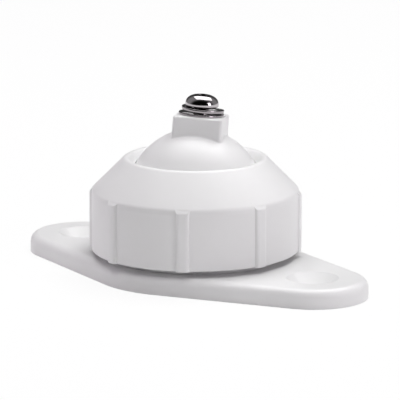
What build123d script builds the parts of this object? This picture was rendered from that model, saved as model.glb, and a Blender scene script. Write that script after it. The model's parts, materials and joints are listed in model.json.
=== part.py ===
from build123d import *
from math import cos, hypot, radians, sin, sqrt, tan
import os

# Ball-and-socket swivel bracket, in millimetres.
# The base lies on z = 0 with its long axis along X. The lock collar turns about Z, and the ball's centre is on Z.
# From the wall outwards: base plate, friction seat, hollow swivel ball, clamp ring, lock collar. The ball's lug
# carries a threaded insert and a machine screw with a lock washer and a flat washer.

# Base plate: lozenge flange, threaded spigot, and the inner post that carries the friction seat
plate_thickness = 4.6
plate_margin = 0.15  # how far the flange's middle reaches past the collar
plate_end_radius = 13.0
plate_edge_round = 3.4
hole_spacing = 72.0
hole_radius = 2.4
countersink_radius = 6.1
countersink_angle = 100
plate_skin = 2.2  # what the cored underside leaves of the flange
plate_skirt = 2.6  # wall round the cored underside
hole_boss_wall = 1.6
rib_width = 1.8
spigot_wall = 3.0
spigot_height = 13.0  # above the flange
notch_depth = 4.5  # for the clamp ring's keys
post_radius = 10.4
post_wall = 2.0

# Swivel ball: a dome open below, with a square lug and an inner boss for the insert
ball_radius = 16.2
ball_wall = 2.4
ball_skirt = 3.6  # how far the open edge lies below the centre
ball_lift = 13.9  # centre above the flange
ball_lean = 5.1  # degrees from upright
lean_direction = 78.0  # degrees from X to where the ball leans
lug_turn = 32.0  # degrees from X to the lug's wide face
lug_width = 11.8
lug_depth = 11.5
lug_rise = 3.3  # above the ball's crown
lug_draft = 1.0  # degrees
lug_corner_round = 0.9
lug_top_round = 0.5
lug_root_round = 0.5
boss_wall = 1.6
boss_end = 0.8  # boss below the insert

# Friction seat: a ring on the post, inside the ball
seat_low_angle = 76.0  # degrees from Z to the bearing zone's edges, seen from the ball's centre
seat_high_angle = 55.0
seat_land = 1.3  # width of the flat on top
seat_wall = 1.4
seat_drop = 2.0  # seat's ledge below the ball's centre
seat_spigot = 4.0  # length inside the post
seat_flare = 1.0  # where the bore starts to widen, above the ledge

# Lock collar, and the clamp ring that it presses on the ball
collar_gap = 1.35  # between the collar and the flange
collar_wall = 2.65
cone_wall = 2.4
cone_angle = 45.3  # degrees from level
mouth_angle = 60.7  # degrees from Z to the mouth's edge, seen from the ball's centre
lip_angle = 66.0  # the same to the lip's lower edge
funnel_width = 2.75
funnel_depth = 1.46
shoulder_round = 2.5
rim_round = 0.45
collar_edge_round = 0.25
grip_count = 8
grip_width = 2.9
grip_height = 0.55
grip_root = 1.2  # how deep a rib reaches into the wall
grip_sink = 0.06  # rib's top below the cone's own line
grip_round = 0.45
grip_start = -10.9  # degrees from X to the first rib
ring_rise = 0.7  # ring's lower face above the ball's centre
key_count = 4
key_width = 5.0
key_start = 45.0  # degrees from X to the first key

# Fastener: M4 pan head screw with its washers, and the insert in the lug
screw_radius = 2.0
screw_length = 10.0
head_radius = 3.98
head_height = 2.75
head_side = 0.9
washer_radius = 5.4
washer_thickness = 0.6
spring_radius = 5.05
spring_bore = 2.4
spring_thickness = 0.7
spring_rise = 0.65  # between the two ends of the split ring
spring_gap = 12.0  # degrees between its ends
spring_split = 125.0  # degrees from X to its lower end
spring_play = 0.3  # how far the loose ring lies off the screw's axis
spring_play_direction = 41.0  # degrees from X
insert_radius = 2.9
insert_length = 8.0
insert_sink = 0.1  # below the lug's top

# Clearances
ball_clearance = 0.1  # ball to seat and to clamp ring
lip_clearance = 0.12  # ball to the collar's lip
swing_clearance = 1.5  # ball's open edge to the spigot, beyond ball_clearance
turn_clearance = 0.2  # seat to post
cone_clearance = 0.15  # clamp ring to collar
key_clearance = 0.3
thread_depth = 1.0  # room for the coarse thread between spigot and collar
shank_clearance = 0.1
washer_clearance = 0.2
head_clearance = 0.25  # screw not yet tight

# Worked out
ball_z = plate_thickness + ball_lift
ball_centre = Vector(0, 0, ball_z)
ball_inner_radius = ball_radius - ball_wall
spigot_bore = ball_radius + ball_clearance + swing_clearance
spigot_radius = spigot_bore + spigot_wall
spigot_top = plate_thickness + spigot_height
collar_bore = spigot_radius + thread_depth
collar_radius = collar_bore + collar_wall
plate_centre_radius = collar_radius + plate_margin
collar_z = plate_thickness + collar_gap
seat_z = ball_z - seat_drop
post_bore = post_radius - post_wall
boss_radius = insert_radius + boss_wall
insert_bore = screw_radius + shank_clearance
washer_bore = screw_radius + washer_clearance

# The ball's own axes: upright, then leant by ball_lean, with the lug turned by lug_turn
lean = radians(ball_lean)
lean_azimuth = radians(lean_direction)
ball_axis = Vector(sin(lean) * cos(lean_azimuth), sin(lean) * sin(lean_azimuth), cos(lean))
lug_side = Vector(cos(radians(lug_turn)), sin(radians(lug_turn)), 0)
lug_side = lug_side - ball_axis * lug_side.dot(ball_axis)
ball_plane = Plane(origin=ball_centre, x_dir=lug_side, z_dir=ball_axis)
ball_section = Plane(origin=ball_centre, x_dir=ball_plane.x_dir, z_dir=-ball_plane.y_dir)
lug_plane = ball_plane.offset(ball_radius + lug_rise)
lug_section = Plane(origin=lug_plane.origin, x_dir=lug_plane.x_dir, z_dir=-lug_plane.y_dir)
turning_axis = Axis(ball_centre, ball_axis)


def seen(radius, angle):
    """The point angle degrees from Z on a circle round the ball's centre, as (r, z) in the row's own section."""
    return radius * sin(radians(angle)), ball_z + radius * cos(radians(angle))


def corner(profile, point):
    """The corner of a profile that lies at point."""
    return profile.vertices().sort_by_distance((*point, 0))[0]


# Base plate. The flange's outline is the hull of three circles; its underside is cored between ribs.
hole_places = [(-hole_spacing / 2, 0), (hole_spacing / 2, 0)]
with BuildPart() as base_plate:
    with BuildSketch() as outline:
        Circle(plate_centre_radius)
        with Locations(hole_places):
            Circle(plate_end_radius)
        make_hull()
    extrude(amount=plate_thickness)
    fillet(base_plate.faces().sort_by(Axis.Z)[-1].edges(), plate_edge_round)
    with BuildSketch():
        add(outline.sketch)
        offset(amount=-plate_skirt, mode=Mode.REPLACE)
        with Locations(hole_places):
            Circle(countersink_radius + hole_boss_wall, mode=Mode.SUBTRACT)
        Rectangle(hole_spacing, rib_width, mode=Mode.SUBTRACT)
        with PolarLocations(0, 2, start_angle=45, angular_range=180):
            Rectangle(2 * plate_centre_radius, rib_width, mode=Mode.SUBTRACT)
    extrude(amount=plate_thickness - plate_skin, mode=Mode.SUBTRACT)
    with BuildSketch():
        Circle(spigot_radius)
        Circle(spigot_bore, mode=Mode.SUBTRACT)
    extrude(amount=spigot_top)
    with BuildSketch():
        Circle(post_radius)
    extrude(amount=seat_z)
    with BuildSketch():
        Circle(post_bore)
    extrude(amount=seat_z, mode=Mode.SUBTRACT)
    with BuildSketch(Plane.XY.offset(spigot_top - notch_depth)):
        with PolarLocations((spigot_bore + spigot_radius) / 2, key_count, start_angle=key_start):
            Rectangle(2 * spigot_wall, key_width + 2 * key_clearance)
    extrude(amount=notch_depth, mode=Mode.SUBTRACT)
    with Locations([(x, y, plate_thickness) for x, y in hole_places]):
        CounterSinkHole(hole_radius, countersink_radius, counter_sink_angle=countersink_angle)

# Friction seat. Its bearing zone is part of a sphere just inside the ball.
seat_sphere = ball_inner_radius - ball_clearance
seat_low = seen(seat_sphere, seat_low_angle)
seat_high = seen(seat_sphere, seat_high_angle)
seat_middle = seen(seat_sphere, (seat_low_angle + seat_high_angle) / 2)
seat_outer = post_bore - turn_clearance
seat_inner = seat_outer - seat_wall
with BuildPart() as friction_seat:
    with BuildSketch(Plane.XZ):
        with BuildLine():
            Polyline(
                seat_high,
                (seat_high[0] - seat_land, seat_high[1]),
                (seat_inner, seat_z + seat_flare),
                (seat_inner, seat_z - seat_spigot),
                (seat_outer, seat_z - seat_spigot),
                (seat_outer, seat_z),
                (post_radius, seat_z),
                seat_low,
            )
            ThreePointArc(seat_low, seat_middle, seat_high)
        make_face()
    revolve(axis=Axis.Z)

# Swivel ball: the dome and its inner boss are turned, the lug rises from the crown.
skirt_radius = sqrt(ball_radius**2 - ball_skirt**2)
boss_top = sqrt(ball_inner_radius**2 - boss_radius**2)
boss_low = ball_radius + lug_rise - insert_sink - insert_length - boss_end
outer_shoulder = (ball_radius * cos(radians(45)), ball_radius * sin(radians(45)))
inner_shoulder = (ball_inner_radius * cos(radians(35)), ball_inner_radius * sin(radians(35)))
root_reach = hypot(lug_width, lug_depth) / 2 + lug_root_round
with BuildPart() as swivel_ball:
    with BuildSketch(ball_section):
        with BuildLine():
            ThreePointArc((0, ball_radius), outer_shoulder, (skirt_radius, -ball_skirt))
            Polyline((skirt_radius, -ball_skirt), (ball_inner_radius, -ball_skirt), (ball_inner_radius, 0))
            ThreePointArc((ball_inner_radius, 0), inner_shoulder, (boss_radius, boss_top))
            Polyline((boss_radius, boss_top), (boss_radius, boss_low), (0, boss_low), (0, ball_radius))
        make_face()
    revolve(axis=turning_axis)
    lug_height = ball_radius + lug_rise - boss_top
    lug_spread = 2 * lug_height * tan(radians(lug_draft))
    with BuildSketch(ball_plane.offset(boss_top)):
        RectangleRounded(lug_width + lug_spread, lug_depth + lug_spread, lug_corner_round)
    extrude(amount=lug_height, taper=lug_draft)
    fillet(swivel_ball.faces().sort_by(turning_axis)[-1].edges(), lug_top_round)
    root_edges = swivel_ball.edges().filter_by(
        lambda edge: abs((edge @ 0.5 - ball_centre).length - ball_radius) < 0.01
        and (edge @ 0.5 - ball_centre).cross(ball_axis).length < root_reach
    )
    fillet(root_edges, lug_root_round)
    with BuildSketch(lug_plane):
        Circle(insert_radius)
    extrude(amount=-insert_length - insert_sink, mode=Mode.SUBTRACT)
    with BuildSketch(lug_plane):
        Circle(insert_bore)
    extrude(amount=-insert_length - insert_sink - boss_end, mode=Mode.SUBTRACT)

# Threaded insert, pressed into the lug
with BuildPart() as threaded_insert:
    with BuildSketch(lug_plane.offset(-insert_sink)):
        Circle(insert_radius)
        Circle(insert_bore, mode=Mode.SUBTRACT)
    extrude(amount=-insert_length)

# Lock collar: cylinder, cone and funnel mouth in one profile, with grip ribs round the cylinder
mouth = seen(ball_radius + lip_clearance, mouth_angle)
lip = seen(ball_radius + lip_clearance, lip_angle)
lip_middle = seen(ball_radius + lip_clearance, (mouth_angle + lip_angle) / 2)
rim = (mouth[0] + funnel_width, mouth[1] + funnel_depth)
cone_slope = tan(radians(cone_angle))
cone_inset = cone_wall / cos(radians(cone_angle))
shoulder = (collar_radius, rim[1] - (collar_radius - rim[0]) * cone_slope)
inner_shoulder_z = rim[1] - (collar_bore - rim[0]) * cone_slope - cone_inset
inner_cone_top = rim[0] + (rim[1] - cone_inset - lip[1]) / cone_slope
grip_radius = collar_radius + grip_height
grip_top = (grip_radius, rim[1] - (grip_radius - rim[0]) * cone_slope - grip_sink)
with BuildPart() as grip_rib:
    with BuildSketch(Plane.XZ) as grip_profile:
        with BuildLine():
            Polyline(
                (collar_radius - grip_root, collar_z),
                (grip_radius, collar_z),
                grip_top,
                (collar_radius - grip_root, grip_top[1] + (grip_height + grip_root) * cone_slope),
                close=True,
            )
        make_face()
        fillet(corner(grip_profile, grip_top), grip_round)
        fillet(corner(grip_profile, (grip_radius, collar_z)), grip_round)
    revolve(axis=Axis.Z)
    with BuildSketch():
        with Locations((collar_radius, 0)):
            Rectangle(2 * (grip_height + grip_root), grip_width)
    extrude(amount=rim[1], mode=Mode.INTERSECT)
    fillet(grip_rib.edges().filter_by(Axis.Z).group_by(Axis.X)[-1], grip_round)
with BuildPart() as lock_collar:
    with BuildSketch(Plane.XZ) as collar_profile:
        with BuildLine():
            Polyline(
                lip,
                (inner_cone_top, lip[1]),
                (collar_bore, inner_shoulder_z),
                (collar_bore, collar_z),
                (collar_radius, collar_z),
                shoulder,
                rim,
                mouth,
            )
            ThreePointArc(mouth, lip_middle, lip)
        make_face()
        fillet(corner(collar_profile, (collar_radius, collar_z)), collar_edge_round)
        fillet(corner(collar_profile, shoulder), shoulder_round)
        fillet(corner(collar_profile, rim), rim_round)
    revolve(axis=Axis.Z)
    with PolarLocations(0, grip_count, start_angle=grip_start):
        add(grip_rib.part)

# Clamp ring: a wedge between the collar's cone and the ball, kept from turning by keys in the spigot
ring_z = ball_z + ring_rise
ring_sphere = ball_radius + ball_clearance
ring_inset = (cone_wall + cone_clearance) / cos(radians(cone_angle))
ring_radius = spigot_radius - cone_clearance
ring_shoulder = rim[1] - (ring_radius - rim[0]) * cone_slope - ring_inset
ring_top = lip[1] - cone_clearance
ring_top_radius = rim[0] + (rim[1] - ring_inset - ring_top) / cone_slope
ring_low = (sqrt(ring_sphere**2 - ring_rise**2), ring_z)
ring_high = (sqrt(ring_sphere**2 - (ring_top - ball_z) ** 2), ring_top)
ring_middle = seen(ring_sphere, (lip_angle + 90) / 2)
key_thickness = spigot_wall - 2 * key_clearance
key_low = spigot_top - notch_depth + key_clearance
with BuildPart() as clamp_ring:
    with BuildSketch(Plane.XZ):
        with BuildLine():
            Polyline(
                ring_high,
                (ring_top_radius, ring_top),
                (ring_radius, ring_shoulder),
                (ring_radius, ring_z),
                ring_low,
            )
            ThreePointArc(ring_low, ring_middle, ring_high)
        make_face()
    revolve(axis=Axis.Z)
    with BuildSketch(Plane.XY.offset(key_low)):
        with PolarLocations((spigot_bore + spigot_radius) / 2, key_count, start_angle=key_start):
            Rectangle(key_thickness, key_width)
    extrude(amount=ring_z - key_low)

# Flat washer on the lug, under the split lock washer
with BuildPart() as flat_washer:
    with BuildSketch(lug_plane):
        Circle(washer_radius)
        Circle(washer_bore, mode=Mode.SUBTRACT)
    extrude(amount=washer_thickness)

# Lock washer: a rectangular section swept along one turn of a left-handed helix, as it is before it is pressed flat
spring_width = spring_radius - spring_bore
spring_start = radians(spring_split - lug_turn)
spring_shift = radians(spring_play_direction - lug_turn)
spring_side = lug_plane.x_dir * cos(spring_start) + lug_plane.y_dir * sin(spring_start)
spring_middle = (
    lug_plane.origin
    + ball_axis * (washer_thickness + spring_thickness / 2)
    + lug_plane.x_dir * spring_play * cos(spring_shift)
    + lug_plane.y_dir * spring_play * sin(spring_shift)
)
spring_plane = Plane(origin=spring_middle, x_dir=spring_side, z_dir=ball_axis)
spring_turn = 1 - spring_gap / 360
coil = spring_plane * Helix(
    pitch=spring_rise / spring_turn,
    height=spring_rise,
    radius=(spring_radius + spring_bore) / 2,
    lefthand=True,
)
spring_core = Edge.make_line(spring_middle, spring_middle + ball_axis * spring_rise)
with BuildPart() as lock_washer:
    with BuildSketch(Plane(origin=coil @ 0, x_dir=spring_side, z_dir=coil % 0)):
        Rectangle(spring_width, spring_thickness)
    sweep(path=coil, binormal=spring_core)

# Machine screw: pan head and plain shank
ELLIPSE = 0.552  # the handle length that makes a Bezier quarter an ellipse
head_low = washer_thickness + spring_thickness + spring_rise + head_clearance
head_top = head_low + head_height
screw_low = head_low - screw_length
with BuildPart() as machine_screw:
    with BuildSketch(lug_section):
        with BuildLine():
            Polyline((0, head_top), (0, screw_low), (screw_radius, screw_low), (screw_radius, head_low))
            Polyline((screw_radius, head_low), (head_radius, head_low), (head_radius, head_low + head_side))
            Bezier(
                (head_radius, head_low + head_side),
                (head_radius, head_top - (1 - ELLIPSE) * (head_height - head_side)),
                (ELLIPSE * head_radius, head_top),
                (0, head_top),
            )
        make_face()
    revolve(axis=turning_axis)

pieces = {
    "base_plate": base_plate,
    "friction_seat": friction_seat,
    "swivel_ball": swivel_ball,
    "threaded_insert": threaded_insert,
    "clamp_ring": clamp_ring,
    "lock_collar": lock_collar,
    "flat_washer": flat_washer,
    "lock_washer": lock_washer,
    "machine_screw": machine_screw,
}
os.makedirs("parts", exist_ok=True)
for name, piece in pieces.items():
    piece.part.label = name
    export_step(piece.part, f"parts/{name}.step")
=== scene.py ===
import json
from math import copysign, cos, hypot, pi, radians, sin, sqrt, tan

import bmesh
import bpy
from mathutils import Matrix, Vector
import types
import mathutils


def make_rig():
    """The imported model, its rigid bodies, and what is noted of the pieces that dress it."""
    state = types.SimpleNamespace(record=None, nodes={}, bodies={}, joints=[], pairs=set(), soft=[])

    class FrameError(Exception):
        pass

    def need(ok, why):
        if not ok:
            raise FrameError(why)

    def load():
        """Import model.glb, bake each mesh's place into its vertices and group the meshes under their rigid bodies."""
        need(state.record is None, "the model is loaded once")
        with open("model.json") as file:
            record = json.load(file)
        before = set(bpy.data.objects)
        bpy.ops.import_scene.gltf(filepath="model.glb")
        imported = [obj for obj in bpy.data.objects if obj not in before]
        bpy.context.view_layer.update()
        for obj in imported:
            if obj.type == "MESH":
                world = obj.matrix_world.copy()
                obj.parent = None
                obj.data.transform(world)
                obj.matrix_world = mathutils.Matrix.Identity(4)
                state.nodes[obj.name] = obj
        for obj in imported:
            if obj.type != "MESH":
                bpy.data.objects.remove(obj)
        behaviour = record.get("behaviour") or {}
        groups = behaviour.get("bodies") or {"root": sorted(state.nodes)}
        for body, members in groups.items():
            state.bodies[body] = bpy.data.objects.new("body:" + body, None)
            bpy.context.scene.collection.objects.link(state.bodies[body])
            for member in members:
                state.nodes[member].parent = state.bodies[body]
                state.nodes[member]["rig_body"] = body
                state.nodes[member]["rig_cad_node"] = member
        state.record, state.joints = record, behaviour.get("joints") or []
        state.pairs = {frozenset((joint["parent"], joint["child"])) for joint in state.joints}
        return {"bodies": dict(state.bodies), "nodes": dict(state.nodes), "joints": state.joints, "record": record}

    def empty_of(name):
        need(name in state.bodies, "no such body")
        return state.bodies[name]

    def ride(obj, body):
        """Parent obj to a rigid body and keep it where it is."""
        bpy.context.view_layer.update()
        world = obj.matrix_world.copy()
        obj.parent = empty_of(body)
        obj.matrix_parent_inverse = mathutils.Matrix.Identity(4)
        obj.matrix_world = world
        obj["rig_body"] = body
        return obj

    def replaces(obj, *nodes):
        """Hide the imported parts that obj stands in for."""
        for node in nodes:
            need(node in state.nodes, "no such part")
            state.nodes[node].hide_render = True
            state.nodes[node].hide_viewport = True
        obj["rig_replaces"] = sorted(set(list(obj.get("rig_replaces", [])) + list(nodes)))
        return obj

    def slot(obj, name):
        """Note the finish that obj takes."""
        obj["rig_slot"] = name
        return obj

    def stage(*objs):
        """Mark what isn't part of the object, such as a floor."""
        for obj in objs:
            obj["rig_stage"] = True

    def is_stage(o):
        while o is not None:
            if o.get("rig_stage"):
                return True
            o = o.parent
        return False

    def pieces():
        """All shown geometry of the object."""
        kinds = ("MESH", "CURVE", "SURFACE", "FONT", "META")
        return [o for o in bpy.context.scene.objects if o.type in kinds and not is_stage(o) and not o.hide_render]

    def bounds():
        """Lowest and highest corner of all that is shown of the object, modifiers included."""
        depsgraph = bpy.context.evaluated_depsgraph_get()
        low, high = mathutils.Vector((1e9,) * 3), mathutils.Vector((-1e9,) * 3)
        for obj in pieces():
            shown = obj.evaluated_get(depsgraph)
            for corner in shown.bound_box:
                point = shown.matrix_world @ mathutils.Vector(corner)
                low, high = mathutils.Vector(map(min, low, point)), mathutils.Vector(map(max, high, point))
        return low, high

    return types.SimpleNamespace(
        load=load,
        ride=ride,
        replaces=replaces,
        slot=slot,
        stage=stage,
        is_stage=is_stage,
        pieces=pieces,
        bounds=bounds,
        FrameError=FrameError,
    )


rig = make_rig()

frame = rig.load()
nodes = frame["nodes"]
mm = 0.001


def note_size(name):
    path = "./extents.json"
    try:
        with open(path) as file:
            sizes = json.load(file)
    except (OSError, ValueError):
        sizes = {}
    low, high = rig.bounds()
    sizes[name] = [list(low), list(high)]
    with open(path, "w") as file:
        json.dump(sizes, file)


note_size("frame")

# --------------------------------------------------------------------------------------------------
# Base plate: a lozenge flange with two countersunk holes, a threaded spigot and an inner post, moulded in
# white ABS. The mould is spark-eroded, which leaves a fine satin grain and a faint cloudiness in the colour.
# The flange is a little thinner here than in the solid, and its outer edge is less rounded.
abs_color = (0.83, 0.83, 0.83, 1)
abs_roughness = 0.34
abs_grain = 9000
cloud_scale = 70
grain_gloss = 0.08
grain_height = 0.03 * mm
merge_distance = 0.0005 * mm
near = 0.01 * mm  # points closer than this to a face or an edge are on it
thread_pitch = 2.5 * mm
thread_depth = 0.7 * mm
thread_root = 1.3 * mm
thread_crest = 0.5 * mm
thread_sink = 0.1 * mm
thread_end_size = 0.15  # a thread's section at its faded ends, as a share of the full one
plate_centre_radius = 24.6 * mm
plate_end_radius = 13.0 * mm
hole_place = 36.0 * mm  # the holes are also the centres of the plate's ends
solid_thickness = 4.6 * mm  # of the flange in the CAD solid, whose outer round follows
solid_round = 3.4 * mm
solid_round_reach = 1.01 * solid_round
flange_thickness = 4.4 * mm
flange_round = 2.1 * mm
spigot_radius = 20.8 * mm
spigot_thread_low = 7.2 * mm
spigot_thread_turns = 2.0


def new_material(name):
    """A material, its node tree and its principled shader."""
    material = bpy.data.materials.new(name)
    material.use_nodes = True
    tree = material.node_tree
    return material, tree, tree.nodes["Principled BSDF"]


def math_node(tree, operation):
    """A math node that does this operation."""
    node = tree.nodes.new("ShaderNodeMath")
    node.operation = operation
    return node


def moulded_skin():
    """The group that turns a plastic's plain colour into that of a moulded skin, with its grain."""
    group = bpy.data.node_groups.new("moulded_skin", "ShaderNodeTree")
    inputs = {"Color": "Color", "Roughness": "Float", "Grain": "Float", "Cloud": "Float"}
    outputs = {"Color": "Color", "Roughness": "Float", "Height": "Float"}
    for side, sockets in (("INPUT", inputs), ("OUTPUT", outputs)):
        for label, kind in sockets.items():
            group.interface.new_socket(label, in_out=side, socket_type="NodeSocket" + kind)
    given = group.nodes.new("NodeGroupInput")
    result = group.nodes.new("NodeGroupOutput")
    place = group.nodes.new("ShaderNodeTexCoord")
    # Slow cloudiness of the resin, which darkens the colour by a few hundredths
    cloud = group.nodes.new("ShaderNodeTexNoise")
    cloud.inputs["Scale"].default_value = cloud_scale
    cloud.inputs["Detail"].default_value = 3
    darker = math_node(group, "MULTIPLY")
    lighter = math_node(group, "SUBTRACT")
    lighter.inputs[0].default_value = 1
    tone = group.nodes.new("ShaderNodeVectorMath")
    tone.operation = "SCALE"
    # Grain of the mould's wall, in the gloss and in the height
    grain = group.nodes.new("ShaderNodeTexNoise")
    grain.inputs["Detail"].default_value = 1
    gloss = math_node(group, "MULTIPLY_ADD")
    gloss.inputs[1].default_value = grain_gloss
    link = group.links.new
    link(place.outputs["Object"], cloud.inputs["Vector"])
    link(place.outputs["Object"], grain.inputs["Vector"])
    link(given.outputs["Grain"], grain.inputs["Scale"])
    link(cloud.outputs["Fac"], darker.inputs[0])
    link(given.outputs["Cloud"], darker.inputs[1])
    link(darker.outputs["Value"], lighter.inputs[1])
    link(given.outputs["Color"], tone.inputs[0])
    link(lighter.outputs["Value"], tone.inputs["Scale"])
    link(grain.outputs["Fac"], gloss.inputs[0])
    link(given.outputs["Roughness"], gloss.inputs[2])
    link(tone.outputs["Vector"], result.inputs["Color"])
    link(gloss.outputs["Value"], result.inputs["Roughness"])
    link(grain.outputs["Fac"], result.inputs["Height"])
    return group


skin = moulded_skin()


def moulded(name, color, roughness, grain, cloud=0.05, strength=0.12):
    """A moulded plastic with the skin's colour, gloss and grain."""
    material, tree, shader = new_material(name)
    surface = tree.nodes.new("ShaderNodeGroup")
    surface.node_tree = skin
    surface.inputs["Color"].default_value = color
    surface.inputs["Roughness"].default_value = roughness
    surface.inputs["Grain"].default_value = grain
    surface.inputs["Cloud"].default_value = cloud
    bump = tree.nodes.new("ShaderNodeBump")
    bump.inputs["Strength"].default_value = strength
    bump.inputs["Distance"].default_value = grain_height
    tree.links.new(surface.outputs["Color"], shader.inputs["Base Color"])
    tree.links.new(surface.outputs["Roughness"], shader.inputs["Roughness"])
    tree.links.new(surface.outputs["Height"], bump.inputs["Height"])
    tree.links.new(bump.outputs["Normal"], shader.inputs["Normal"])
    return material


def finish_node(name, material):
    """Gives a CAD node its material."""
    nodes[name].data.materials.clear()
    nodes[name].data.materials.append(material)


def add_object(name, data):
    """A new object with this data, linked to the scene."""
    piece = bpy.data.objects.new(name, data)
    bpy.context.scene.collection.objects.link(piece)
    return piece


def apply_modifier(piece, modifier):
    """Gives a piece the plain mesh that its modifier makes, and takes the modifier off."""
    made = bpy.data.meshes.new_from_object(piece.evaluated_get(bpy.context.evaluated_depsgraph_get()))
    piece.modifiers.remove(modifier)
    piece.data = made


def new_tree(name, inputs):
    """A geometry node tree with these named inputs, its input node, and its last node's mesh socket."""
    tree = bpy.data.node_groups.new(name, "GeometryNodeTree")
    tree.interface.new_socket("Mesh", in_out="OUTPUT", socket_type="NodeSocketGeometry")
    for label, kind in {**inputs, "Material": "Material"}.items():
        tree.interface.new_socket(label, in_out="INPUT", socket_type="NodeSocket" + kind)
    given = tree.nodes.new("NodeGroupInput")
    single = tree.nodes.new("GeometryNodeRealizeInstances")
    coat = tree.nodes.new("GeometryNodeSetMaterial")
    result = tree.nodes.new("NodeGroupOutput")
    tree.links.new(single.outputs["Geometry"], coat.inputs["Geometry"])
    tree.links.new(given.outputs["Material"], coat.inputs["Material"])
    tree.links.new(coat.outputs["Geometry"], result.inputs["Mesh"])
    return tree, given, single.inputs["Geometry"]


def grown(name, tree, sizes, place=Matrix(), sharp=40):
    """The piece that a geometry node tree makes from these sizes, put in its place."""
    piece = add_object(name, bpy.data.meshes.new(name))
    modifier = piece.modifiers.new("shape", "NODES")
    modifier.node_group = tree
    for item in tree.interface.items_tree:
        if item.in_out == "INPUT":
            modifier[item.identifier] = sizes[item.name]
    apply_modifier(piece, modifier)
    return settled(piece, place, sharp)


def settled(piece, place=Matrix(), sharp=40):
    """Moves a piece's mesh to its place, turns its faces outwards, and smooths it up to the sharp angle."""
    shape = bmesh.new()
    shape.from_mesh(piece.data)
    bmesh.ops.remove_doubles(shape, verts=shape.verts, dist=merge_distance)
    bmesh.ops.recalc_face_normals(shape, faces=shape.faces)
    shape.transform(place)
    shape.to_mesh(piece.data)
    shape.free()
    piece.data.shade_smooth()
    piece.data.set_sharp_from_angle(angle=radians(sharp))
    return piece


def swept(tree, path, section, mesh):
    """Sweeps a section along a path whose sections stay upright, and gives the node that does it."""
    upright = tree.nodes.new("GeometryNodeSetCurveNormal")
    upright.mode = "Z_UP"
    sweep = tree.nodes.new("GeometryNodeCurveToMesh")
    sweep.inputs["Fill Caps"].default_value = True
    tree.links.new(path, upright.inputs["Curve"])
    tree.links.new(upright.outputs["Curve"], sweep.inputs["Curve"])
    tree.links.new(section, sweep.inputs["Profile Curve"])
    tree.links.new(sweep.outputs["Mesh"], mesh)
    return sweep


def thread_tree():
    """A trapezium swept along a helix, its ends fading into the wall. Its depth is negative in a bore."""
    tree, given, mesh = new_tree("thread", {
        "Root Radius": "Float", "Depth": "Float", "Sink": "Float", "Root Width": "Float",
        "Crest Width": "Float", "Pitch": "Float", "Turns": "Float", "Steps": "Int", "Fade": "Float",
    })
    link = tree.links.new
    height = math_node(tree, "MULTIPLY")
    link(given.outputs["Pitch"], height.inputs[0])
    link(given.outputs["Turns"], height.inputs[1])
    helix = tree.nodes.new("GeometryNodeCurveSpiral")
    helix.inputs["Reverse"].default_value = True
    link(given.outputs["Steps"], helix.inputs["Resolution"])
    link(given.outputs["Turns"], helix.inputs["Rotations"])
    link(given.outputs["Root Radius"], helix.inputs["Start Radius"])
    link(given.outputs["Root Radius"], helix.inputs["End Radius"])
    link(height.outputs["Value"], helix.inputs["Height"])
    section = tree.nodes.new("GeometryNodeCurvePrimitiveQuadrilateral")
    section.mode = "POINTS"
    corners = (("Sink", "Root Width", -0.5), ("Depth", "Crest Width", -0.5),
               ("Depth", "Crest Width", 0.5), ("Sink", "Root Width", 0.5))
    for number, (reach, width, side) in enumerate(corners, start=1):
        half = math_node(tree, "MULTIPLY")
        half.inputs[1].default_value = side
        point = tree.nodes.new("ShaderNodeCombineXYZ")
        link(given.outputs[width], half.inputs[0])
        link(given.outputs[reach], point.inputs["X"])
        link(half.outputs["Value"], point.inputs["Y"])
        link(point.outputs["Vector"], section.inputs[f"Point {number}"])
    along = tree.nodes.new("GeometryNodeSplineParameter")
    rest = math_node(tree, "SUBTRACT")
    rest.inputs[0].default_value = 1
    nearer = math_node(tree, "MINIMUM")
    fade = tree.nodes.new("ShaderNodeMapRange")
    fade.inputs["To Min"].default_value = thread_end_size
    link(along.outputs["Factor"], rest.inputs[1])
    link(along.outputs["Factor"], nearer.inputs[0])
    link(rest.outputs["Value"], nearer.inputs[1])
    link(nearer.outputs["Value"], fade.inputs["Value"])
    link(given.outputs["Fade"], fade.inputs["From Max"])
    sweep = swept(tree, helix.outputs["Curve"], section.outputs["Curve"], mesh)
    link(fade.outputs["Result"], sweep.inputs["Scale"])
    return tree


def flange_inset(point):
    """How far inside the flange's outline, the hull of three circles, a point lies, and the way outwards."""
    across = copysign(1, point.x), copysign(1, point.y)
    place = Vector((abs(point.x), abs(point.y)))
    lean = (plate_centre_radius - plate_end_radius) / hole_place
    side = Vector((lean, sqrt(1 - lean**2)))
    along = Vector((side.y, -side.x))
    end = Vector((hole_place, 0))
    if place.dot(along) < 0:
        inset, outwards = plate_centre_radius - place.length, place.normalized()
    elif (place - end).dot(along) > 0:
        inset, outwards = plate_end_radius - (place - end).length, (place - end).normalized()
    else:
        inset, outwards = plate_centre_radius - place.dot(side), side
    return inset, Vector((outwards.x * across[0], outwards.y * across[1], 0))


def refined_flange(name, solid):
    """A copy of the base with a thinner flange and a tighter outer round. Its normals stay as they were."""
    shape = solid.data.copy()
    normals = [corner.vector.copy() for corner in shape.corner_normals]
    share = flange_round / solid_round
    for point in shape.vertices:
        depth = solid_thickness - point.co.z
        inset, outwards = flange_inset(point.co)
        off_round = hypot(solid_round - inset, solid_round - depth) - solid_round
        if abs(off_round) < 2 * near and max(inset, depth) < solid_round_reach:
            point.co += outwards * inset * (1 - share)
            point.co.z = flange_thickness - depth * share
        elif abs(depth) < near and point.co.xy.length > spigot_radius - near:
            point.co.z = flange_thickness
    shape.normals_split_custom_set(normals)
    return add_object(name, shape)


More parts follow.
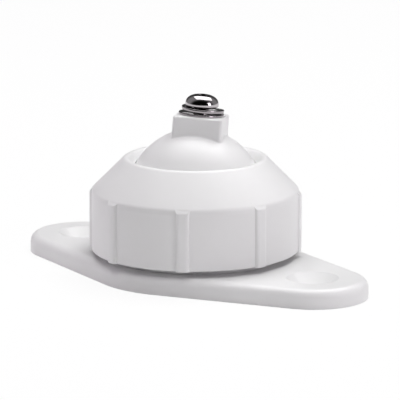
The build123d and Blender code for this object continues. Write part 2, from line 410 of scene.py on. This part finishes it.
white_abs = moulded("white_abs", abs_color, abs_roughness, abs_grain)
finish_node("base_plate", white_abs)
flange = refined_flange("flange", nodes["base_plate"])
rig.ride(flange, "base")
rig.replaces(flange, "base_plate")
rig.slot(flange, "white_plastic")
thread = thread_tree()
coarse_thread = {
    "Sink": -thread_sink, "Root Width": thread_root, "Crest Width": thread_crest, "Pitch": thread_pitch,
    "Steps": 120, "Fade": 0.06, "Material": white_abs,
}
spigot_thread = grown("spigot_thread", thread, {
    **coarse_thread, "Root Radius": spigot_radius, "Depth": thread_depth, "Turns": spigot_thread_turns,
}, Matrix.Translation((0, 0, spigot_thread_low)))
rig.ride(spigot_thread, "base")
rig.slot(spigot_thread, "white_plastic")

# --------------------------------------------------------------------------------------------------
# Friction seat: a ring turned from natural acetal, whose ledge lies on the base's post. The inside of the
# ball slides on it.
acetal_color = (0.74, 0.73, 0.69, 1)
acetal = moulded("natural_acetal", acetal_color, roughness=0.38, grain=5000, cloud=0.03, strength=0.06)
finish_node("friction_seat", acetal)

# --------------------------------------------------------------------------------------------------
# Swivel ball: a hollow dome of white ABS with a square lug. It leans a little away from upright, and its
# axis carries the insert, the washers and the screw.
ball_centre = Vector((0, 0, 18.5 * mm))
ball_radius = 16.2 * mm
ball_lean = radians(5.1)
lean_direction = radians(78)
lug_turn = radians(32)
lug_rise = 3.3 * mm
ball_axis = Vector((
    sin(ball_lean) * cos(lean_direction), sin(ball_lean) * sin(lean_direction), cos(ball_lean),
))
lug_side = Vector((cos(lug_turn), sin(lug_turn), 0))
lug_side = (lug_side - ball_axis * lug_side.dot(ball_axis)).normalized()
lug_top = Matrix((lug_side, ball_axis.cross(lug_side), ball_axis)).transposed().to_4x4()
lug_top.translation = ball_centre + ball_axis * (ball_radius + lug_rise)
finish_node("swivel_ball", white_abs)

# --------------------------------------------------------------------------------------------------
# Threaded insert: a brass bush with two straight-knurled bands, pressed into the lug's bore. It is turned
# from bar, and its bore is tapped M4.
insert_radius = 2.88 * mm
insert_length = 8.0 * mm
insert_sink = 0.1 * mm
insert_bore = 2.12 * mm
insert_chamfer = 0.3 * mm
groove_depth = 0.35 * mm
groove_floor = 0.2 * mm  # half the groove's width at its floor
groove_mouth = 0.4 * mm  # half its width at the surface
knurl_count = 36
knurl_depth = 0.12 * mm
knurl_half_band = insert_length / 5.5
knurl_foot = 0.7 * mm  # from the insert's middle to the nearer end of a knurled band
brass_color = (0.7, 0.5, 0.22, 1)
drawing_mark_scale = 2500


def turned(name, profile, steps, material, reach=None):
    """A solid of revolution from (radius, height) points. A reach, where given, moves them in or out."""
    shape = bmesh.new()
    rings = []
    for radius, height in profile:
        if radius == 0:
            rings.append([shape.verts.new((0, 0, height))])
            continue
        ring = []
        for step in range(steps):
            angle = 2 * pi * step / steps
            out = reach(angle, radius, height) if reach else radius
            ring.append(shape.verts.new((out * cos(angle), out * sin(angle), height)))
        rings.append(ring)
    open_ends = len(rings[0]) > 1
    for low, high in zip(rings, rings[1:] + rings[:1] if open_ends else rings[1:]):
        for step in range(steps):
            after = (step + 1) % steps
            corners = [low[step % len(low)], low[after % len(low)]]
            corners += [high[after % len(high)], high[step % len(high)]]
            shape.faces.new(list(dict.fromkeys(corners)))
    piece = add_object(name, bpy.data.meshes.new(name))
    shape.to_mesh(piece.data)
    shape.free()
    piece.data.materials.append(material)
    return piece


def worn_metal(name, color, roughness, scratch):
    """A metal with fine drawing marks in its gloss."""
    material, tree, shader = new_material(name)
    place = tree.nodes.new("ShaderNodeTexCoord")
    marks = tree.nodes.new("ShaderNodeTexNoise")
    marks.inputs["Scale"].default_value = drawing_mark_scale
    marks.inputs["Detail"].default_value = 2
    gloss = math_node(tree, "MULTIPLY_ADD")
    gloss.inputs[1].default_value = scratch
    gloss.inputs[2].default_value = roughness
    tree.links.new(place.outputs["Object"], marks.inputs["Vector"])
    tree.links.new(marks.outputs["Fac"], gloss.inputs[0])
    tree.links.new(gloss.outputs["Value"], shader.inputs["Roughness"])
    shader.inputs["Base Color"].default_value = color
    shader.inputs["Metallic"].default_value = 1
    return material


def knurled(angle, radius, height):
    """Raises and lowers the bush's outside between the groove and its ends."""
    off_band = abs(abs(height + insert_sink + insert_length / 2) - insert_length / 4)
    if radius < insert_radius or off_band >= knurl_half_band:
        return radius
    return radius - knurl_depth * (0.5 + 0.5 * cos(knurl_count * angle))


brass = worn_metal("turned_brass", brass_color, roughness=0.2, scratch=0.12)
top, middle, low = -insert_sink, -insert_sink - insert_length / 2, -insert_sink - insert_length
upper_side = [top - insert_chamfer * step for step in (1, 2, 3)]
upper_side += [middle + knurl_foot, middle + groove_mouth]
lower_side = [2 * middle - height for height in reversed(upper_side)]
insert_profile = [(insert_bore, top), (insert_radius - insert_chamfer, top)]
insert_profile += [(insert_radius, height) for height in upper_side]
insert_profile += [(insert_radius - groove_depth, middle + side * groove_floor) for side in (1, -1)]
insert_profile += [(insert_radius, height) for height in lower_side]
insert_profile += [(insert_radius - insert_chamfer, low), (insert_bore, low)]
insert = turned("brass_insert", insert_profile, steps=8 * knurl_count, material=brass, reach=knurled)
settled(insert, lug_top, sharp=30)
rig.ride(insert, "ball")
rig.replaces(insert, "threaded_insert")
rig.slot(insert, "brass")

# --------------------------------------------------------------------------------------------------
# Clamp ring: a wedge-shaped ring of natural acetal between the collar's cone and the ball, with four keys
# that stand in the spigot's notches.
finish_node("clamp_ring", acetal)

# --------------------------------------------------------------------------------------------------
# Lock collar: a nut moulded in white ABS, with a cone and a funnel mouth round the ball, and a narrow bevel
# between the cone and its side. Eight grip ribs with rounded edges stand round it, and its coarse inner
# thread runs on the spigot's.
collar_low = 5.95 * mm
collar_bore = 21.8 * mm
collar_radius = 24.6 * mm
collar_steps = 240
cone_slope = tan(radians(45.3))
cone_wall = 3.4 * mm
rim_radius = 16.3 * mm
rim_height = 28.62 * mm
shoulder_height = rim_height - (collar_radius - rim_radius) * cone_slope
bevel_width = 0.15 * mm
bevel_height = 1.05 * mm
foot_round = 0.35 * mm
bevel_round = 1.5 * mm
rim_round = 1.3 * mm
mouth_round = 0.1 * mm
inner_cone_round = 0.3 * mm
bore_foot_round = 0.2 * mm
mouth_gap = 0.12 * mm
mouth_radius = ball_radius + mouth_gap
mouth_angles = (60.7, 63.4, 66)  # degrees from upright, where the mouth follows the ball
collar_thread_low = spigot_thread_low + thread_pitch / 2
collar_thread_turns = 2.5
rib_count = 8
rib_start = radians(-10.9)
rib_foot_width = 3.1 * mm
rib_crest_width = 2.5 * mm
rib_stand = 0.65 * mm
rib_root = 1.2 * mm  # how deep a rib is set into the collar's wall
rib_round = 0.65 * mm
rib_sink = 0.06 * mm  # how far its top lies below the cone's line
rib_drop = 0.03 * mm  # how far its foot hangs below the collar's


def rounded_curve(tree, curve, radius, steps):
    """Rounds a curve's corners by a radius, as arcs of so many steps."""
    rounded = tree.nodes.new("GeometryNodeFilletCurve")
    rounded.mode = "POLY"
    rounded.inputs["Count"].default_value = steps
    rounded.inputs["Limit Radius"].default_value = True
    tree.links.new(curve, rounded.inputs["Curve"])
    tree.links.new(radius, rounded.inputs["Radius"])
    return rounded.outputs["Curve"]


def turned_tree(corner_count):
    """A closed outline of (radius, height) corners turned round the axis, with copies of a rib round it."""
    inputs = {
        "Path Radius": "Float", "Steps": "Int", "Rib": "Object", "Rib Count": "Int", "Rib Start": "Float",
    }
    for number in range(corner_count):
        inputs[f"Corner {number}"] = "Vector"
        inputs[f"Round {number}"] = "Float"
    tree, given, mesh = new_tree("turned", inputs)
    link = tree.links.new
    index = tree.nodes.new("GeometryNodeInputIndex")
    chosen = {}
    for label, kind in (("Corner", "VECTOR"), ("Round", "FLOAT")):
        choice = tree.nodes.new("GeometryNodeIndexSwitch")
        choice.data_type = kind
        while len(choice.index_switch_items) < corner_count:
            choice.index_switch_items.new()
        link(index.outputs["Index"], choice.inputs["Index"])
        for item in range(corner_count):
            link(given.outputs[f"{label} {item}"], choice.inputs[str(item)])
        chosen[label] = choice.outputs["Output"]
    corners = tree.nodes.new("GeometryNodeMeshLine")
    corners.inputs["Count"].default_value = corner_count
    placed = tree.nodes.new("GeometryNodeSetPosition")
    outline = tree.nodes.new("GeometryNodeMeshToCurve")
    closed = tree.nodes.new("GeometryNodeSetSplineCyclic")
    closed.inputs["Cyclic"].default_value = True
    rounded = rounded_curve(tree, closed.outputs["Geometry"], chosen["Round"], steps=6)
    path = tree.nodes.new("GeometryNodeCurvePrimitiveCircle")
    link(corners.outputs["Mesh"], placed.inputs["Geometry"])
    link(chosen["Corner"], placed.inputs["Position"])
    link(placed.outputs["Geometry"], outline.inputs["Mesh"])
    link(outline.outputs["Curve"], closed.inputs["Geometry"])
    link(given.outputs["Steps"], path.inputs["Resolution"])
    link(given.outputs["Path Radius"], path.inputs["Radius"])
    # The ribs, each turned by its number's share of the circle
    rib = tree.nodes.new("GeometryNodeObjectInfo")
    origins = tree.nodes.new("GeometryNodePoints")
    share = math_node(tree, "DIVIDE")
    share.inputs[0].default_value = 2 * pi
    turn = math_node(tree, "MULTIPLY_ADD")
    spin = tree.nodes.new("ShaderNodeCombineXYZ")
    ribs = tree.nodes.new("GeometryNodeInstanceOnPoints")
    together = tree.nodes.new("GeometryNodeJoinGeometry")
    link(given.outputs["Rib"], rib.inputs["Object"])
    link(given.outputs["Rib Count"], origins.inputs["Count"])
    link(given.outputs["Rib Count"], share.inputs[1])
    link(index.outputs["Index"], turn.inputs[0])
    link(share.outputs["Value"], turn.inputs[1])
    link(given.outputs["Rib Start"], turn.inputs[2])
    link(turn.outputs["Value"], spin.inputs["Z"])
    link(origins.outputs["Points"], ribs.inputs["Points"])
    link(rib.outputs["Geometry"], ribs.inputs["Instance"])
    link(spin.outputs["Vector"], ribs.inputs["Rotation"])
    swept(tree, path.outputs["Curve"], rounded, together.inputs["Geometry"])
    link(ribs.outputs["Instances"], together.inputs["Geometry"])
    link(together.outputs["Geometry"], mesh)
    return tree


# One rib: a bar with drafted sides, square at its foot and rounded along its other outer edges. Its top
# follows the cone.
rib_radius = collar_radius + rib_stand
rib_draft = (rib_foot_width - rib_crest_width) / 2 / rib_stand
rib_low = collar_low - rib_drop
rib_top = rim_height - (rib_radius - rim_radius) * cone_slope - rib_sink
rib_outline = [
    (collar_radius - rib_root, rib_low), (rib_radius, rib_low), (rib_radius, rib_top),
    (collar_radius - rib_root, rib_top + (rib_stand + rib_root) * cone_slope),
]
bar = bmesh.new()
sides = [
    [
        bar.verts.new((x, side * (rib_crest_width / 2 + (rib_radius - x) * rib_draft), z))
        for x, z in rib_outline
    ]
    for side in (-1, 1)
]
bar.faces.new(sides[0])
bar.faces.new(reversed(sides[1]))
for step in range(len(rib_outline)):
    after = (step + 1) % len(rib_outline)
    bar.faces.new((sides[0][after], sides[0][step], sides[1][step], sides[1][after]))
outer = [
    edge for edge in bar.edges
    if all(corner.co.x > rib_radius - near for corner in edge.verts)
    and any(corner.co.z > rib_low + near for corner in edge.verts)
]
bmesh.ops.bevel(
    bar, geom=outer, offset=rib_round, offset_type="OFFSET", segments=5, profile=0.5, affect="EDGES",
)
grip_rib = add_object("grip_rib", bpy.data.meshes.new("grip_rib"))
bar.to_mesh(grip_rib.data)
bar.free()

collar_path = (collar_bore + collar_radius) / 2
inner_cone_low = shoulder_height + (collar_radius - collar_bore) * cone_slope - cone_wall
mouth = [
    (mouth_radius * sin(radians(angle)), ball_centre.z + mouth_radius * cos(radians(angle)))
    for angle in mouth_angles
]
lip_height = mouth[-1][1]
collar_outline = [
    (collar_radius, collar_low, foot_round),
    (collar_radius, shoulder_height - bevel_height, bevel_round),
    (collar_radius - bevel_width, shoulder_height + bevel_width * cone_slope, bevel_round),
    (rim_radius, rim_height, rim_round),
    (*mouth[0], mouth_round),
    (*mouth[1], 0),
    (*mouth[2], mouth_round),
    (collar_bore - (lip_height - inner_cone_low) / cone_slope, lip_height, mouth_round),
    (collar_bore, inner_cone_low, inner_cone_round),
    (collar_bore, collar_low, bore_foot_round),
]
collar_sizes = {
    "Path Radius": collar_path, "Steps": collar_steps, "Rib": grip_rib, "Rib Count": rib_count,
    "Rib Start": rib_start, "Material": white_abs,
}
# A swept section hangs from its path, so its heights are turned over
for number, (radius, height, round_radius) in enumerate(collar_outline):
    collar_sizes[f"Corner {number}"] = (radius - collar_path, -height, 0)
    collar_sizes[f"Round {number}"] = round_radius
collar = grown("collar_shell", turned_tree(len(collar_outline)), collar_sizes)
bpy.data.objects.remove(grip_rib)
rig.ride(collar, "collar")
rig.replaces(collar, "lock_collar")
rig.slot(collar, "white_plastic")

collar_thread = grown("collar_thread", thread, {
    **coarse_thread, "Root Radius": collar_bore, "Depth": -thread_depth, "Sink": thread_sink,
    "Turns": collar_thread_turns,
}, Matrix.Translation((0, 0, collar_thread_low)))
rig.ride(collar_thread, "collar")
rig.slot(collar_thread, "white_plastic")

# --------------------------------------------------------------------------------------------------
# Flat washer: stamped from plated steel sheet, so that its edges are rounded. It lies on the lug, round the
# screw.
washer_radius = 5.4 * mm
washer_bore = 2.2 * mm
washer_thickness = 0.6 * mm
washer_round = 0.2 * mm
washer_steps = 160
washer_color = (0.36, 0.335, 0.35, 1)
ring_inputs = {
    "Radius": "Float", "Width": "Float", "Thickness": "Float", "Edge Round": "Float", "Steps": "Int",
}


def ring_section(tree, given):
    """Adds a washer's section, a rectangle with rounded corners, to a tree."""
    section = tree.nodes.new("GeometryNodeCurvePrimitiveQuadrilateral")
    tree.links.new(given.outputs["Width"], section.inputs["Width"])
    tree.links.new(given.outputs["Thickness"], section.inputs["Height"])
    return rounded_curve(tree, section.outputs["Curve"], given.outputs["Edge Round"], steps=5)


def flat_ring_tree():
    """A whole ring of a rounded rectangular section."""
    tree, given, mesh = new_tree("flat_ring", ring_inputs)
    path = tree.nodes.new("GeometryNodeCurvePrimitiveCircle")
    tree.links.new(given.outputs["Steps"], path.inputs["Resolution"])
    tree.links.new(given.outputs["Radius"], path.inputs["Radius"])
    swept(tree, path.outputs["Curve"], ring_section(tree, given), mesh)
    return tree


washer_steel = worn_metal("washer_steel", washer_color, roughness=0.04, scratch=0.05)
flat_washer = grown("washer_flat", flat_ring_tree(), {
    "Radius": (washer_radius + washer_bore) / 2, "Width": washer_radius - washer_bore,
    "Thickness": washer_thickness, "Edge Round": washer_round, "Steps": washer_steps,
    "Material": washer_steel,
}, lug_top @ Matrix.Translation((0, 0, washer_thickness / 2)), sharp=50)
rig.ride(flat_washer, "washers")
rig.replaces(flat_washer, "flat_washer")
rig.slot(flat_washer, "plated_steel")

# --------------------------------------------------------------------------------------------------
# Lock washer: flat-sided spring wire coiled through one left-handed turn, cut, hardened and plated. It is
# still open: its lower end lies on the flat washer, and its upper end is nearly at the screw's head.
spring_radius = 5.05 * mm
spring_bore = 2.4 * mm
spring_thickness = 0.7 * mm
spring_round = 0.14 * mm
spring_rise = 0.8 * mm
spring_lift = 0.05 * mm
spring_turns = 348 / 360
spring_start = radians(125)
spring_play = 0.3 * mm
play_direction = radians(41)
spring_place = (
    lug_top
    @ Matrix.Rotation(-lug_turn, 4, "Z")
    @ Matrix.Translation(Vector((cos(play_direction), sin(play_direction), 0)) * spring_play)
    @ Matrix.Translation((0, 0, washer_thickness + spring_lift + spring_thickness / 2))
    @ Matrix.Rotation(spring_start, 4, "Z")
)


def split_ring_tree():
    """One open turn of a left-handed coil of a rounded rectangular section."""
    tree, given, mesh = new_tree("split_ring", {**ring_inputs, "Turns": "Float", "Rise": "Float"})
    path = tree.nodes.new("GeometryNodeCurveSpiral")
    sources = {
        "Resolution": "Steps", "Rotations": "Turns", "Start Radius": "Radius", "End Radius": "Radius",
        "Height": "Rise",
    }
    for socket, label in sources.items():
        tree.links.new(given.outputs[label], path.inputs[socket])
    swept(tree, path.outputs["Curve"], ring_section(tree, given), mesh)
    return tree


spring_washer = grown("washer_lock", split_ring_tree(), {
    "Radius": (spring_radius + spring_bore) / 2, "Width": spring_radius - spring_bore,
    "Thickness": spring_thickness, "Edge Round": spring_round, "Steps": washer_steps, "Turns": spring_turns,
    "Rise": spring_rise, "Material": washer_steel,
}, spring_place, sharp=50)
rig.ride(spring_washer, "washers")
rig.replaces(spring_washer, "lock_washer")
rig.slot(spring_washer, "plated_steel")

# --------------------------------------------------------------------------------------------------
# Machine screw: M4 pan head with a cross recess, cold-headed, thread-rolled and bright plated. It isn't yet
# tight, so its head stands a little above the lock washer.
head_low = 2.2 * mm
head_radius = 3.98 * mm
head_height = 2.75 * mm
head_side = 0.5 * mm
head_under_round = 0.2 * mm
head_turn = radians(17)
dome_fullness = 0.72
recess_width = 4.2 * mm
recess_slot = 0.95 * mm
recess_depth = 2.0 * mm
recess_floor_size = 0.42
slot_taper = 0.25
punch_rise = 0.4 * mm
punch_top_size = 1.08
shank_length = 10.0 * mm
shank_core = 1.66 * mm
shank_radius = 1.99 * mm
shank_tip = 0.5 * mm
shank_chamfer = 0.3 * mm
shank_neck = 0.5 * mm
fine_pitch = 0.7 * mm
fine_root = 0.6 * mm
fine_crest = 0.1 * mm
fine_start = 0.6 * mm
fine_length = shank_length - 1.3 * mm
steel_color = (0.5, 0.47, 0.49, 1)


def quarter_turn(steps):
    """The angles that part a quarter turn into these steps, without its ends."""
    return [pi / 2 * step / steps for step in range(1, steps)]


plated_steel = worn_metal("plated_steel", steel_color, roughness=0.05, scratch=0.08)
head_profile = [(0, head_low), (head_radius - head_under_round, head_low)]
head_profile += [
    (head_radius - head_under_round * (1 - sin(angle)), head_low + head_under_round * (1 - cos(angle)))
    for angle in quarter_turn(6)
]
head_profile += [(head_radius, head_low + head_under_round), (head_radius, head_low + head_side)]
head_profile += [
    (head_radius * cos(angle)**dome_fullness, head_low + head_side + (head_height - head_side) * sin(angle))
    for angle in quarter_turn(24)
]
head_profile += [(0, head_low + head_height)]
head = turned("machine_screw_m4", head_profile, steps=128, material=plated_steel)

# The recess: a cross that narrows as it goes down
punch = bmesh.new()
levels = []
for rise, size in ((punch_rise, punch_top_size), (-recess_depth, recess_floor_size)):
    arm = recess_width / 2 * size
    half = recess_slot / 2 * (1 - slot_taper + slot_taper * size)
    quarter = [(arm, -half), (arm, half), (half, half)]
    outline = [Matrix.Rotation(pi / 2 * turn, 2) @ Vector(point) for turn in range(4) for point in quarter]
    levels.append([punch.verts.new((*point, head_low + head_height + rise)) for point in outline])
upper, lower = levels
for step in range(len(upper)):
    after = (step + 1) % len(upper)
    punch.faces.new((upper[step], upper[after], lower[after], lower[step]))
punch.faces.new(upper)
punch.faces.new(lower)
bmesh.ops.recalc_face_normals(punch, faces=punch.faces)
punch_piece = add_object("punch", bpy.data.meshes.new("punch"))
punch.to_mesh(punch_piece.data)
punch.free()
recess = head.modifiers.new("recess", "BOOLEAN")
recess.object = punch_piece
recess.operation = "DIFFERENCE"
recess.solver = "EXACT"
apply_modifier(head, recess)
bpy.data.objects.remove(punch_piece)

# The shank: its core with a chamfered tip, and the rolled thread
screw_tip = head_low - shank_length
core_profile = [(0, screw_tip), (shank_core - shank_chamfer, screw_tip), (shank_core, screw_tip + shank_tip)]
core_profile += [(shank_core, head_low - shank_neck), (shank_radius, head_low), (0, head_low)]
core = turned("screw_core", core_profile, steps=48, material=plated_steel)
rolled_thread = grown("screw_thread", thread, {
    "Root Radius": shank_core, "Depth": shank_radius - shank_core, "Sink": -thread_sink,
    "Root Width": fine_root, "Crest Width": fine_crest, "Pitch": fine_pitch,
    "Turns": fine_length / fine_pitch, "Steps": 32, "Fade": 0.03, "Material": plated_steel,
}, Matrix.Translation((0, 0, screw_tip + fine_start)))
whole_screw = bmesh.new()
for part in (head, core, rolled_thread):
    whole_screw.from_mesh(part.data)
whole_screw.to_mesh(head.data)
whole_screw.free()
bpy.data.objects.remove(core)
bpy.data.objects.remove(rolled_thread)
settled(head, lug_top @ Matrix.Rotation(head_turn, 4, "Z"), sharp=32)
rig.ride(head, "screw")
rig.replaces(head, "machine_screw")
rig.slot(head, "plated_steel")

# --------------------------------------------------------------------------------------------------
# Floor: a wide sheet of white paper. It glows white for the camera and in reflections, under the part's soft
# shadow.
floor_size = 6
paper_color = (0.92, 0.92, 0.92, 1)
paper_glow = 0.9
paper, paper_tree, paper_shader = new_material("white_paper")
paper_shader.inputs["Base Color"].default_value = paper_color
paper_shader.inputs["Roughness"].default_value = 0.9
glow = paper_tree.nodes.new("ShaderNodeEmission")
glow.inputs["Strength"].default_value = 1
ray = paper_tree.nodes.new("ShaderNodeLightPath")
seen = math_node(paper_tree, "MAXIMUM")
shown = math_node(paper_tree, "MAXIMUM")
share = math_node(paper_tree, "MULTIPLY")
share.inputs[1].default_value = paper_glow
blend = paper_tree.nodes.new("ShaderNodeMixShader")
link = paper_tree.links.new
link(ray.outputs["Is Camera Ray"], seen.inputs[0])
link(ray.outputs["Is Glossy Ray"], seen.inputs[1])
link(seen.outputs["Value"], shown.inputs[0])
link(ray.outputs["Is Transmission Ray"], shown.inputs[1])
link(shown.outputs["Value"], share.inputs[0])
link(share.outputs["Value"], blend.inputs["Fac"])
link(paper_shader.outputs["BSDF"], blend.inputs[1])
link(glow.outputs["Emission"], blend.inputs[2])
link(blend.outputs["Shader"], paper_tree.nodes["Material Output"].inputs["Surface"])
bpy.ops.mesh.primitive_plane_add(size=floor_size)
floor = bpy.context.object
floor.name = "floor"
floor.data.materials.append(paper)
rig.stage(floor)

# --------------------------------------------------------------------------------------------------
# Studio: a dim room whose grey walls show as bands in polished metal, dark behind the camera and dimmer at
# the far end. A wide softbox hangs overhead and a small key behind on the right. A strip stands in front on
# the right, a fill on the left, and a bank over the far end is only seen in reflections.
room_color = (1, 0.74, 0.98, 1)
room_strength = 0.015
wall_strength = 0.4
dark_strength = 0.004
far_end_share = 0.2
camera_azimuth = radians(-49)
camera_side = Vector((cos(camera_azimuth), sin(camera_azimuth), 0))
lamp_distance = 0.9
lamp_aim = Vector((0, 0, 0.02))


def smooth_change(tree, start, end, before, after):
    """A node whose result changes smoothly from before to after as its value goes from start to end."""
    change = tree.nodes.new("ShaderNodeMapRange")
    change.interpolation_type = "SMOOTHSTEP"
    for label, value in (("From Min", start), ("From Max", end), ("To Min", before), ("To Max", after)):
        change.inputs[label].default_value = value
    return change


world = bpy.data.worlds.new("studio")
bpy.context.scene.world = world
world.use_nodes = True
sky = world.node_tree
link = sky.links.new
room = sky.nodes["Background"]
room.inputs["Color"].default_value = room_color
room.inputs["Strength"].default_value = room_strength
direction = sky.nodes.new("ShaderNodeTexCoord")
facing = sky.nodes.new("ShaderNodeVectorMath")
facing.operation = "DOT_PRODUCT"
facing.inputs[1].default_value = camera_side
wall = smooth_change(sky, start=0.45, end=-0.15, before=dark_strength, after=wall_strength)
far_end = smooth_change(sky, start=-0.55, end=-0.9, before=1, after=far_end_share)
dim = math_node(sky, "MULTIPLY")
walls = sky.nodes.new("ShaderNodeBackground")
backdrop = sky.nodes.new("ShaderNodeBackground")
backdrop.inputs["Color"].default_value = (1, 1, 1, 1)
backdrop.inputs["Strength"].default_value = 1
sky_ray = sky.nodes.new("ShaderNodeLightPath")
reflected = sky.nodes.new("ShaderNodeMixShader")
sky_mix = sky.nodes.new("ShaderNodeMixShader")
link(direction.outputs["Generated"], facing.inputs[0])
link(facing.outputs["Value"], wall.inputs["Value"])
link(facing.outputs["Value"], far_end.inputs["Value"])
link(wall.outputs["Result"], dim.inputs[0])
link(far_end.outputs["Result"], dim.inputs[1])
link(dim.outputs["Value"], walls.inputs["Strength"])
link(sky_ray.outputs["Is Glossy Ray"], reflected.inputs["Fac"])
link(room.outputs["Background"], reflected.inputs[1])
link(walls.outputs["Background"], reflected.inputs[2])
link(sky_ray.outputs["Is Camera Ray"], sky_mix.inputs["Fac"])
link(reflected.outputs["Shader"], sky_mix.inputs[1])
link(backdrop.outputs["Background"], sky_mix.inputs[2])
link(sky_mix.outputs["Shader"], sky.nodes["World Output"].inputs["Surface"])


def softbox(name, azimuth, elevation, width, height, power, color=(1, 1, 1), lights=True, mirrored=True):
    """A rectangular lamp that faces the part from this direction, in degrees and metres."""
    lamp = bpy.data.lights.new(name, "AREA")
    lamp.shape = "RECTANGLE"
    lamp.size = width
    lamp.size_y = height
    lamp.energy = power
    lamp.color = color
    round_about, upwards = radians(azimuth), radians(elevation)
    place = Vector((
        cos(upwards) * cos(round_about), cos(upwards) * sin(round_about), sin(upwards),
    )) * lamp_distance
    stand = add_object(name, lamp)
    stand.location = place
    stand.rotation_euler = (lamp_aim - place).to_track_quat("-Z", "Y").to_euler()
    stand.visible_diffuse = lights
    stand.visible_glossy = mirrored


softbox("overhead", azimuth=0, elevation=90, width=1.0, height=1.0, power=8.9, mirrored=False)
softbox("bank", azimuth=124, elevation=66, width=0.7, height=0.75, power=4.4, lights=False)
softbox("key", azimuth=81, elevation=59, width=0.4, height=0.4, power=1.8)
softbox("strip", azimuth=6, elevation=17, width=0.28, height=0.62, power=2.1, color=(1, 0.94, 1))
softbox(
    "fill", azimuth=200, elevation=18, width=0.5, height=0.5, power=1.3, color=(1, 0.84, 1), mirrored=False,
)

# --------------------------------------------------------------------------------------------------
# Camera: a long lens about 0.9 m away, which looks down a little on the plate's long side, the collar and
# the screw.
eye = Vector((0.5932, -0.6806, 0.2189))
aim = Vector((-0.001629, 0.003531, 0.016738))
lens = bpy.data.cameras.new("camera")
lens.sensor_width = 36
lens.lens = 351.6
camera = add_object("camera", lens)
camera.location = eye
camera.rotation_euler = (aim - eye).to_track_quat("-Z", "Y").to_euler()
bpy.context.scene.camera = camera
bpy.context.scene.view_settings.view_transform = "Standard"

note_size("scene")
